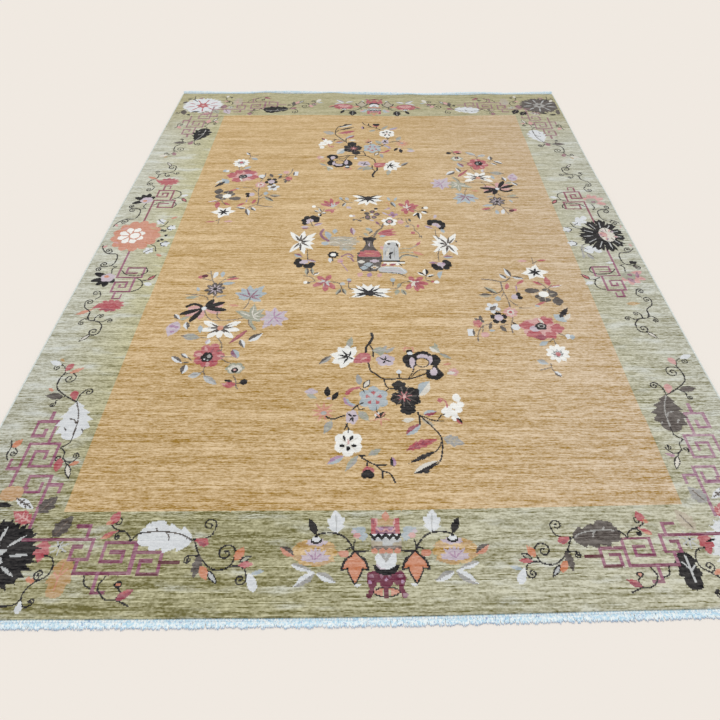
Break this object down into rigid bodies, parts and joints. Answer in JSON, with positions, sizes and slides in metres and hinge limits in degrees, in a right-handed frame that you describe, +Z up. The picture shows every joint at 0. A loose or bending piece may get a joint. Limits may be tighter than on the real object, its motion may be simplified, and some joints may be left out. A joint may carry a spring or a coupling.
{
  "type": "room-size chinese art deco rug",
  "caption": "Flat rectangular hand-knotted pile rug with flower sprays, a fretwork border, overcast sides and short cut fringes.",
  "frame": {"origin": "middle of the whole outline, fringes included, on the floor under the rug", "axes": "+Y along the rug towards its far end, +X across it to the right, +Z up out of the pile"},
  "size_m": [2.7936, 3.7598, 0.0166],
  "materials": {
    "wool_pile": "clipped wool pile, gold field and sage green border with knotted flowers",
    "overcast_wool": "pale overcast wool cord",
    "cotton_warp": "cut cotton warp ends, faintly blued"
  },
  "bodies": {
    "root": {"rug_body": "wool_pile", "selvedge_left": "overcast_wool", "selvedge_right": "overcast_wool", "fringe_front": "cotton_warp", "fringe_back": "cotton_warp"}
  },
  "joints": []
}
